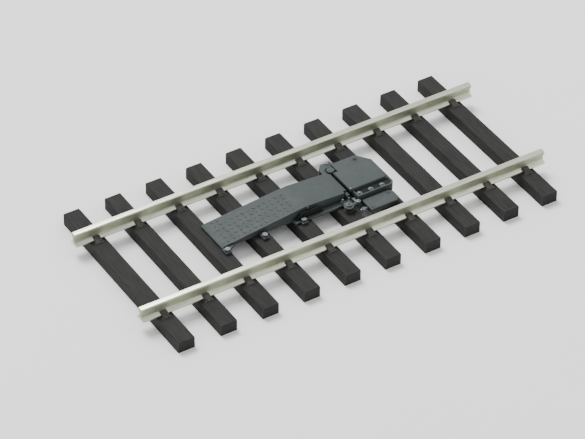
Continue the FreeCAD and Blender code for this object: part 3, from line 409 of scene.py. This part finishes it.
def solid_boxes(node):
    """Lowest and highest corner of each separate solid in a node, from left to right."""
    bm = bmesh.new()
    bm.from_mesh(NODES[node].data)
    bmesh.ops.scale(bm, vec=(1 / MM, 1 / MM, 1 / MM), verts=bm.verts)
    bmesh.ops.remove_doubles(bm, verts=bm.verts, dist=WELD)
    left = set(bm.verts)
    boxes = []
    while left:
        group = set()
        waiting = [left.pop()]
        while waiting:
            vertex = waiting.pop()
            group.add(vertex)
            for edge in vertex.link_edges:
                other = edge.other_vert(vertex)
                if other in left:
                    left.remove(other)
                    waiting.append(other)
        places = [v.co for v in group]
        low = Vector(min(p[i] for p in places) for i in range(3))
        high = Vector(max(p[i] for p in places) for i in range(3))
        boxes.append((low, high))
    bm.free()
    return sorted(boxes, key=lambda pair: (round(pair[0].x, 3), pair[0].y))


# ---------------------------------------------------------------- plain bodies with rounded edges
ROUNDED = {
    "bed_plate": 0.05, "near_gusset": 0.05, "hinge_bracket": 0.04, "hinge_post": 0.06,
    "housing": 0.05, "main_cover": 0.05, "side_box": 0.05, "box_lid": 0.03,
    "cover_gasket": 0.01, "coil_yoke": 0.04, "drive_slide": 0.03, "wiper_arm": 0.03,
    "switch_board": 0.02, "contact_pads": 0.015, "terminal_block": 0.04, "lift_stud": 0.04,
    "hinge_pin": 0.05, "armature": 0.03, "near_bobbin": 0.03, "far_bobbin": 0.03,
    "crank_post": 0.03, "bell_crank": 0.04, "drive_pin": 0.03, "output_pin": 0.03,
    "crank_nut": 0.03, "cable_gland": 0.03, "gland_nut": 0.03, "near_rail": 0.03,
    "far_rail": 0.03,
}
EYE_CLEARANCE = 0.03
FLANGE_THICK = 0.2
CHANNEL_DEPTH = 0.12


def flange_level():
    """Height of the top of the cover's flanges, which lie on the gasket."""
    return box_mm("cover_gasket")[1].z + FLANGE_THICK


def paint_shade_on(piece, wanted):
    """Gives the darker finish, painted shade, to the faces whose centre and normal pass a test.
    """
    piece.data.materials.append(LOOKS["painted_shade"])
    for face in piece.data.polygons:
        if wanted(face.center / MM, face.normal):
            face.material_index = 1


def flatten_eye(bm):
    """Files a flat on the slide's eye, so that it passes the housing's corner at full travel."""
    wall, near = box_mm("housing")[0].x, box_mm("housing")[0].y
    for vert in bm.verts:
        if vert.co.y < near:
            vert.co.x = min(vert.co.x, wall - EYE_CLEARANCE)


def paint_channel_shade(cover):
    """Darkens the floor of the channel that is sunk into the cover's near flange: painted shade.
    """
    highest = flange_level() - 0.02
    lowest = flange_level() - CHANNEL_DEPTH - 0.05
    paint_shade_on(cover, lambda place, normal: lowest < place.z < highest
                 and normal.z > 0.5 and place.y < 0)


def make_rounded():
    """Pieces that keep their CAD shape apart from rounded edges and a flat on the slide."""
    for node, width in ROUNDED.items():
        bm = cad_mesh(node)
        round_edges(bm, width)
        if node == "drive_slide":
            flatten_eye(bm)
        piece = make_piece(node + "_body", bm, [node])
        if node == "main_cover":
            paint_channel_shade(piece)
        # The whole gusset gets the darker finish: painted shade.
        if node == "near_gusset":
            paint_shade_on(piece, lambda place, normal: True)


# ---------------------------------------------------------------- ramp with its tread
TREAD_HEIGHT = 0.08
TREAD_PITCH = 0.84
TREAD_LENGTH = 0.7
TREAD_WIDTH = 0.34
TREAD_LEFT = -14.0
TREAD_BORDER = 0.42
TREAD_ROOT = 0.03
TREAD_FIRST_ROW = -5
UNDERSIDE_BELOW = 2.3


def tread_surface():
    """The left end of the ramp's crest and the top of its toe."""
    low = box_mm("ramp_plate")[0]
    places = [v.co / MM for v in NODES["ramp_plate"].data.vertices]
    crest = max(places, key=lambda p: p.z)
    crest_left = min((p for p in places if p.z > crest.z - 0.05), key=lambda p: p.x)
    toe = [p for p in places if p.x < low.x + 0.6]
    toe_edge = max(toe, key=lambda p: (round(p.z, 3), p.x))
    return crest_left, toe_edge


def add_lozenge(bm, middle, along, across, up):
    """A raised bar with pointed ends and a flat top, as rolled into tread plate."""
    half_length, half_width = TREAD_LENGTH / 2, TREAD_WIDTH / 2
    base = []
    top = []
    for a, b in ((1, 0), (0.35, 1), (-0.35, 1), (-1, 0), (-0.35, -1), (0.35, -1)):
        flat = middle + along * (a * half_length) + across * (b * half_width)
        base.append(bm.verts.new(flat - up * TREAD_ROOT))
        inner = middle + along * (a * half_length * 0.72) + across * (b * half_width * 0.55)
        top.append(bm.verts.new(inner + up * TREAD_HEIGHT))
    bm.faces.new(base[::-1])
    bm.faces.new(top)
    for k in range(6):
        following = (k + 1) % 6
        bm.faces.new((base[k], base[following], top[following], top[k]))


def make_ramp():
    """The ramp with rows of raised bars, turned alternately, from its toe to its crest."""
    bm = cad_mesh("ramp_plate")
    round_edges(bm, 0.05)
    crest, toe = tread_surface()
    slope = (crest.z - toe.z) / (crest.x - toe.x)
    run = Vector((1, 0, slope)).normalized()
    side = Vector((0, 1, 0))
    up = run.cross(side)
    places = [v.co / MM for v in NODES["ramp_plate"].data.vertices]
    upper = [p for p in places if p.z > UNDERSIDE_BELOW]
    toe_sides = [p.y for p in upper if p.x < toe.x + 0.5]
    crest_sides = [p.y for p in upper if abs(p.x - crest.x) < 0.5]
    toe_low, toe_high = min(toe_sides), max(toe_sides)
    crest_low, crest_high = min(crest_sides), max(crest_sides)
    column = 0
    x = TREAD_LEFT
    while x < crest.x - 0.5:
        share = (x - toe.x) / (crest.x - toe.x)
        low = toe_low + (crest_low - toe_low) * share + TREAD_BORDER
        high = toe_high + (crest_high - toe_high) * share - TREAD_BORDER
        y = TREAD_FIRST_ROW * TREAD_PITCH
        row = 0
        while y < high:
            if y > low:
                angle = math.radians(45 if (row + column) % 2 else -45)
                along = run * math.cos(angle) + side * math.sin(angle)
                across = side * math.cos(angle) - run * math.sin(angle)
                middle = Vector((x, y, toe.z + slope * (x - toe.x)))
                add_lozenge(bm, middle, along, across, up)
            y += TREAD_PITCH
            row += 1
        x += TREAD_PITCH
        column += 1
    make_piece("ramp_body", bm, ["ramp_plate"])


# ---------------------------------------------------------------- screws and bolts
POST_RISE = 0.2
BOLT_FLANGE = (0.37, 0.05)
WASHER_FACE = 0.06


def cut_slot(bm, centre, radius, top, depth, width, angle):
    """Cuts a screwdriver slot by taking a thin block out of the head."""
    work = bpy.data.meshes.new("work")
    bm.to_mesh(work)
    bm.clear()
    head = bpy.data.objects.new("work", work)
    blade = bmesh.new()
    half, run = width / 2, radius * 1.2
    ends = [(-run, -half), (run, -half), (run, half), (-run, half)]
    outline = [(centre[0] + a * math.cos(angle) - b * math.sin(angle),
                centre[1] + a * math.sin(angle) + b * math.cos(angle)) for a, b in ends]
    add_prism(blade, outline, top - depth, top + depth)
    tool_mesh = bpy.data.meshes.new("tool")
    blade.to_mesh(tool_mesh)
    blade.free()
    tool = bpy.data.objects.new("tool", tool_mesh)
    for item in (head, tool):
        bpy.context.scene.collection.objects.link(item)
    cut = head.modifiers.new("cut", "BOOLEAN")
    cut.operation = "DIFFERENCE"
    cut.solver = "EXACT"
    cut.object = tool
    bpy.context.view_layer.update()
    graph = bpy.context.evaluated_depsgraph_get()
    done = head.evaluated_get(graph).to_mesh()
    bm.from_mesh(done)
    for item in (head, tool):
        bpy.data.objects.remove(item)
    bpy.data.meshes.remove(work)
    bpy.data.meshes.remove(tool_mesh)


def slotted_head(whole, x, y, seat, radius, height, shank, foot, flange=None):
    """One domed slotted screw: shank, optional washer face, drum, dome and slot."""
    bm = bmesh.new()
    profile = [(0, foot), (shank * 0.8, foot), (shank, foot + 0.05), (shank, seat)]
    if flange:
        profile += [(flange[0] - 0.02, seat), (flange[0], seat + 0.02),
                    (flange[0] - 0.02, seat + flange[1]), (radius, seat + flange[1])]
    else:
        profile += [(radius, seat)]
    profile += [(radius, seat + height * 0.45)]
    for step in range(1, 6):
        share = step / 6
        profile.append((radius * math.cos(share * math.pi / 2) ** 0.6,
                        seat + height * (0.45 + 0.55 * math.sin(share * math.pi / 2))))
    profile.append((0, seat + height))
    add_lathe(bm, profile, (x, y, 0))
    bmesh.ops.recalc_face_normals(bm, faces=bm.faces)
    angle = RNG.uniform(0, math.pi)
    cut_slot(bm, (x, y), radius, seat + height, height * 0.45, radius * 0.3, angle)
    absorb(whole, bm)


def screws_for(node, seat, radius, shank, flange=None):
    """Replaces each solid of a screw node with a slotted screw of the same size."""
    whole = bmesh.new()
    for low, high in solid_boxes(node):
        x, y = (low.x + high.x) / 2, (low.y + high.y) / 2
        slotted_head(whole, x, y, seat, radius, high.z - seat, shank, low.z, flange)
    make_piece(node + "_body", whole, [node])


def make_screws():
    """Every slotted screw, on the surface that its head bears on."""
    foot_top = box_mm("hinge_post")[1].z - POST_RISE
    box_floor, block_top = (corner.z for corner in box_mm("terminal_block"))
    screws_for("cover_bolts", flange_level() - CHANNEL_DEPTH, 0.24, 0.15, BOLT_FLANGE)
    screws_for("far_cover_bolt", flange_level(), 0.24, 0.15, BOLT_FLANGE)
    screws_for("lid_screws", box_mm("box_lid")[1].z, 0.22, 0.1)
    screws_for("post_bolt", foot_top, 0.22, 0.1)
    screws_for("corner_screw", box_mm("main_cover")[1].z, 0.16, 0.08)
    screws_for("bed_screws", box_mm("bed_plate")[1].z, 0.38, 0.2)
    screws_for("box_screws", box_floor, 0.25, 0.1)
    screws_for("terminal_screws", block_top, 0.18, 0.17)


def make_fixing_bolts():
    """Hexagon-headed bolts with a washer face, which hold the lugs down."""
    bed_top = box_mm("bed_plate")[1].z
    face_top = bed_top + WASHER_FACE
    whole = bmesh.new()
    for low, high in solid_boxes("fixing_bolts"):
        x, y = (low.x + high.x) / 2, (low.y + high.y) / 2
        add_lathe(whole, [(0, low.z), (0.16, low.z), (0.2, low.z + 0.06), (0.2, bed_top),
                          (0.38, bed_top), (0.4, bed_top + 0.02), (0.38, face_top),
                          (0, face_top)], (x, y, 0))
        head = bmesh.new()
        add_hexagon(head, (x, y), 0.39, face_top, high.z - 0.02, RNG.uniform(0, 1))
        round_edges(head, 0.06)
        add_lathe(head, [(0, high.z - 0.05), (0.24, high.z - 0.05), (0.21, high.z),
                         (0, high.z)], (x, y, 0))
        absorb(whole, head)
    make_piece("fixing_bolts_body", whole, ["fixing_bolts"])


# ---------------------------------------------------------------- windings
WIRE_RADIUS = 0.035
INNER_RADIUS = 0.3


def make_winding(node):
    """A coil of round wire in neat turns over a plain core."""
    low, high = box_mm(node)
    centre = (low + high) / 2
    radius = (high.x - low.x) / 2
    count = int((high.y - low.y) / (2 * WIRE_RADIUS))
    pitch = (high.y - low.y) / count
    middle_radius = radius - WIRE_RADIUS
    spindle = (centre.x, 0, centre.z)
    bm = bmesh.new()
    add_lathe(bm, [(INNER_RADIUS, low.y), (middle_radius, low.y), (middle_radius, high.y),
                   (INNER_RADIUS, high.y), (INNER_RADIUS, low.y)], spindle, (0, 1, 0), 32)
    bmesh.ops.remove_doubles(bm, verts=bm.verts, dist=1e-5)
    for turn in range(count):
        middle = low.y + (turn + 0.5) * pitch
        ring = []
        for k in range(7):
            angle = 2 * math.pi * (k % 6) / 6
            ring.append((middle_radius + WIRE_RADIUS * math.cos(angle),
                         middle + WIRE_RADIUS * math.sin(angle)))
        part = bmesh.new()
        add_lathe(part, ring, spindle, (0, 1, 0), 32)
        bmesh.ops.remove_doubles(part, verts=part.verts, dist=1e-6)
        absorb(bm, part)
    make_piece(node + "_body", bm, [node], smooth=80)


# ---------------------------------------------------------------- sleepers
GRAIN_DEPTH = 0.05
CHAIR_HALF = 0.65
SIDE_INSET = 0.03
END_INSET = 0.04
TOP_INSET = 0.06
EDGE_WEAR = 0.09
EDGE_WEAR_REACH = 0.16


def sleeper_block(bm, low, high, seed):
    """The sleeper's block with wood grain on its top and sides and softened edges."""
    across, along, tall = 16, 90, 5
    top = high.z
    size = Vector((high.x - low.x, high.y - low.y, top - low.z))

    def place(a, b, c):
        """A point of the block's skin, from shares of its width, length and height."""
        x = low.x + size.x * a
        y = low.y + size.y * b
        z = low.z + size.z * c
        line = noise.noise(Vector((x * 3.2, y * 0.16, seed + z * 2)))
        fine = noise.noise(Vector((x * 9, y * 0.3, seed + 7 + z * 4)))
        cut = GRAIN_DEPTH * (0.5 + 0.35 * line + 0.3 * fine)
        edge = min(a, 1 - a) * size.x
        if c == 1:
            z -= max(0.0, cut + EDGE_WEAR * max(0.0, 1 - edge / EDGE_WEAR_REACH))
            inset = TOP_INSET
        else:
            inset = SIDE_INSET + cut * 0.5
        if a in (0, 1):
            x += inset if a == 0 else -inset
        if b in (0, 1):
            y += (END_INSET + cut * 0.4) * (1 if b == 0 else -1)
        return Vector((x, y, max(low.z, z)))

    found = {}

    def vertex(i, j, k):
        key = (i, j, k)
        if key not in found:
            found[key] = bm.verts.new(place(i / across, j / along, k / tall))
        return found[key]

    for i in range(across):
        for j in range(along):
            bm.faces.new((vertex(i, j, tall), vertex(i + 1, j, tall),
                          vertex(i + 1, j + 1, tall), vertex(i, j + 1, tall)))
            bm.faces.new((vertex(i, j, 0), vertex(i, j + 1, 0),
                          vertex(i + 1, j + 1, 0), vertex(i + 1, j, 0)))
    for k in range(tall):
        for j in range(along):
            for i in (0, across):
                bm.faces.new((vertex(i, j, k), vertex(i, j, k + 1),
                              vertex(i, j + 1, k + 1), vertex(i, j + 1, k)))
        for i in range(across):
            for j in (0, along):
                bm.faces.new((vertex(i, j, k), vertex(i + 1, j, k),
                              vertex(i + 1, j, k + 1), vertex(i, j, k + 1)))


def add_chair(bm, x, side, way, level):
    """One moulded rail fastening: base plate, jaw over the rail foot and two bolts."""
    part = bmesh.new()
    line = side * RAIL_LINE

    def points(pairs):
        return [(line + way * y, z) for y, z in pairs]

    jaw = [(0.77, level - 0.15), (0.77, level + 0.2), (0.27, level + 0.4),
           (0.27, level + 0.46), (0.34, level + 0.49), (0.65, level + 0.49),
           (1.12, level + 0.26), (1.46, level + 0.12), (1.46, level - 0.15)]
    add_prism(part, points(jaw), x - CHAIR_HALF + 0.18, x + CHAIR_HALF - 0.18, "X")
    plate = [(0.77, level - 0.15), (0.77, level + 0.07), (1.42, level + 0.07),
             (1.5, level - 0.02), (1.5, level - 0.15)]
    add_prism(part, points(plate), x - CHAIR_HALF, x + CHAIR_HALF, "X")
    round_edges(part, 0.025)
    for shift in (-0.24, 0.24):
        bolt = (x + shift, line + way * 1.24)
        add_hexagon(part, bolt, 0.13, level + 0.1, level + 0.34, RNG.uniform(0, 1))
    absorb(bm, part)


def make_sleepers():
    """Ten sleepers, each with four rail fastenings sunk a little into its grain."""
    names = [node for node in sorted(NODES) if node.startswith("sleeper_")]
    for seed, node in enumerate(names):
        low, high = box_mm(node)
        bm = bmesh.new()
        sleeper_block(bm, low, Vector((high.x, high.y, SLEEPER_TOP)), seed * 3.7)
        middle = (low.x + high.x) / 2
        for side in (-1, 1):
            for way in (-1, 1):
                add_chair(bm, middle, side, way, SLEEPER_TOP - 0.03)
        make_piece(node + "_body", bm, [node], smooth=40)


# ---------------------------------------------------------------- stage
# Metres and watts: name, place, energy and size of each lamp.
FLOOR_HALF = 3
LAMPS = (
    ("key", (-0.05, 0.36, 0.66), 7.0, 0.3),
    ("fill", (0.5, -0.3, 0.7), 1.0, 0.6),
)


def make_stage():
    """Pale floor, soft key light from behind and above, and an even sky."""
    bm = bmesh.new()
    corners = ((-FLOOR_HALF, -FLOOR_HALF), (FLOOR_HALF, -FLOOR_HALF),
               (FLOOR_HALF, FLOOR_HALF), (-FLOOR_HALF, FLOOR_HALF))
    bm.faces.new([bm.verts.new((x, y, 0)) for x, y in corners])
    mesh = bpy.data.meshes.new("floor")
    bm.to_mesh(mesh)
    bm.free()
    floor = bpy.data.objects.new("floor", mesh)
    bpy.context.scene.collection.objects.link(floor)
    s = Shader("floor")
    mesh.materials.append(s.finish(s.mix(s.noise(0.02, 2), (0.86, 0.86, 0.85),
                                         (0.9, 0.9, 0.89)), 0.8))
    world = bpy.data.worlds.new("world")
    bpy.context.scene.world = world
    world.use_nodes = True
    sky = world.node_tree.nodes["Background"]
    sky.inputs["Color"].default_value = (0.97, 0.98, 1, 1)
    sky.inputs["Strength"].default_value = 1.0
    for name, place, energy, size in LAMPS:
        data = bpy.data.lights.new(name, "AREA")
        data.energy = energy
        data.size = size
        light = bpy.data.objects.new(name, data)
        bpy.context.scene.collection.objects.link(light)
        light.location = place
        light.rotation_euler = Vector(place).to_track_quat("Z", "Y").to_euler()


make_camera()
make_rounded()
make_ramp()
make_screws()
make_fixing_bolts()
for winding in ("near_winding", "far_winding"):
    make_winding(winding)
make_sleepers()
make_stage()

for node_name, node_object in NODES.items():
    node_object.data.materials.clear()
    node_object.data.materials.append(LOOKS[SLOT_OF[node_name]])
